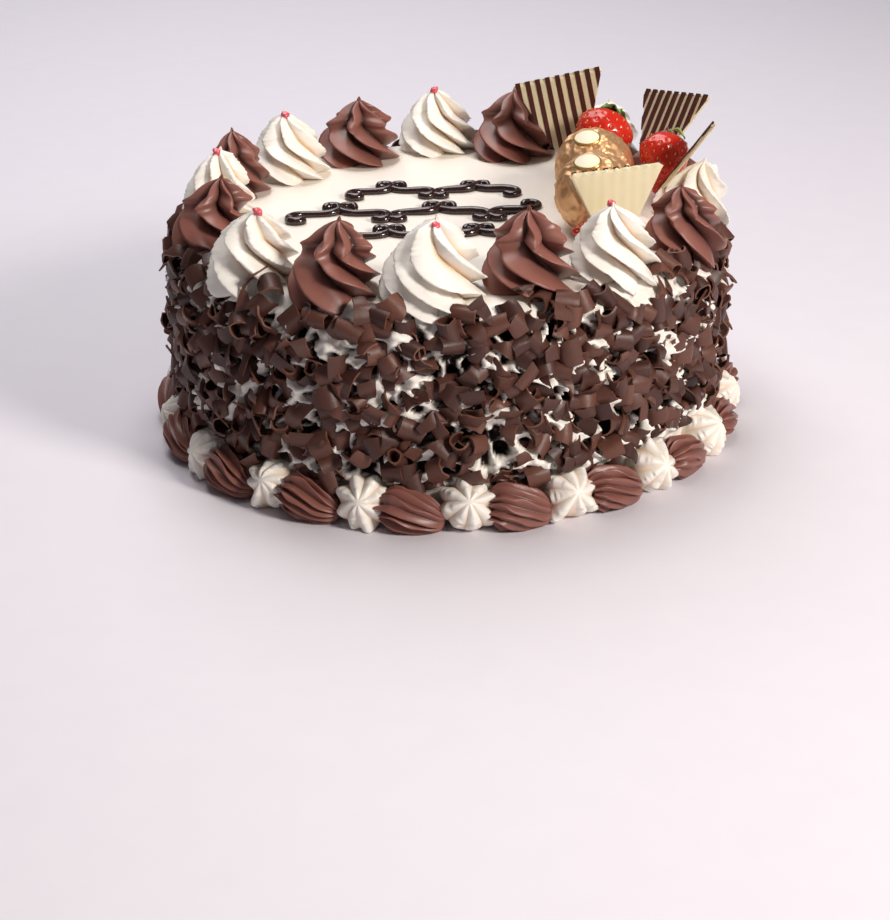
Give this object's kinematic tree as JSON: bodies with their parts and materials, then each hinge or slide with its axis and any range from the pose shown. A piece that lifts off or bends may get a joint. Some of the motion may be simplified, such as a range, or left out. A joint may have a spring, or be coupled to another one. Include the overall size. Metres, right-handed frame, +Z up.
{
  "type": "chocolate hazelnut cake",
  "caption": "Round chocolate and cream celebration cake with curls on its side, piped swirls on its rim, shells round its foot and a cluster of berries, foil pralines and chocolate plates.",
  "frame": {"origin": "centre of the flat underside of the cake, on the surface it stands on", "axes": "+Z up; -Y is the front that faces the viewer; +X is to the right, towards the cluster of toppings"},
  "size_m": [0.2335, 0.2324, 0.1227],
  "materials": {
    "shavings": "dark chocolate shavings, satin",
    "cream": "piped dairy cream, satin",
    "chocolate_cream": "piped chocolate cream, satin",
    "striped_chocolate": "tempered dark and white chocolate, semi-gloss",
    "white_chocolate": "tempered white chocolate, semi-gloss",
    "gold_foil": "crumpled aluminium foil, gold lacquered",
    "strawberry": "fresh fruit skin, glossy",
    "piping": "dark chocolate piping, glossy",
    "leaf": "fresh leaf, matt",
    "sticker": "glossy paper"
  },
  "bodies": {
    "root": {"cake": "shavings", "rosette_cream_1": "cream", "rosette_cream_2": "cream", "rosette_cream_3": "cream", "rosette_cream_4": "cream", "rosette_cream_5": "cream", "rosette_cream_6": "cream", "rosette_cream_7": "cream", "rosette_cream_8": "cream", "rosette_chocolate_1": "chocolate_cream", "rosette_chocolate_2": "chocolate_cream", "rosette_chocolate_3": "chocolate_cream", "rosette_chocolate_4": "chocolate_cream", "rosette_chocolate_5": "chocolate_cream", "rosette_chocolate_6": "chocolate_cream", "rosette_chocolate_7": "chocolate_cream", "rosette_chocolate_8": "chocolate_cream", "border_star_1": "cream", "border_star_2": "cream", "border_star_3": "cream", "border_star_4": "cream", "border_star_5": "cream", "border_star_6": "cream", "border_star_7": "cream", "border_star_8": "cream", "border_star_9": "cream", "border_star_10": "cream", "border_star_11": "cream", "border_star_12": "cream", "border_star_13": "cream", "border_star_14": "cream", "border_star_15": "cream", "border_star_16": "cream", "border_star_17": "cream", "border_shell_1": "chocolate_cream", "border_shell_2": "chocolate_cream", "border_shell_3": "chocolate_cream", "border_shell_4": "chocolate_cream", "border_shell_5": "chocolate_cream", "border_shell_6": "chocolate_cream", "border_shell_7": "chocolate_cream", "border_shell_8": "chocolate_cream", "border_shell_9": "chocolate_cream", "border_shell_10": "chocolate_cream", "border_shell_11": "chocolate_cream", "border_shell_12": "chocolate_cream", "border_shell_13": "chocolate_cream", "border_shell_14": "chocolate_cream", "border_shell_15": "chocolate_cream", "border_shell_16": "chocolate_cream", "border_shell_17": "chocolate_cream", "striped_plate_left": "striped_chocolate", "striped_plate_right": "striped_chocolate", "cream_plate_front": "white_chocolate", "cream_plate_side": "white_chocolate", "praline_back": "gold_foil", "praline_front": "gold_foil", "strawberry_back": "strawberry", "strawberry_right": "strawberry", "strawberry_front": "strawberry"}
  },
  "joints": []
}
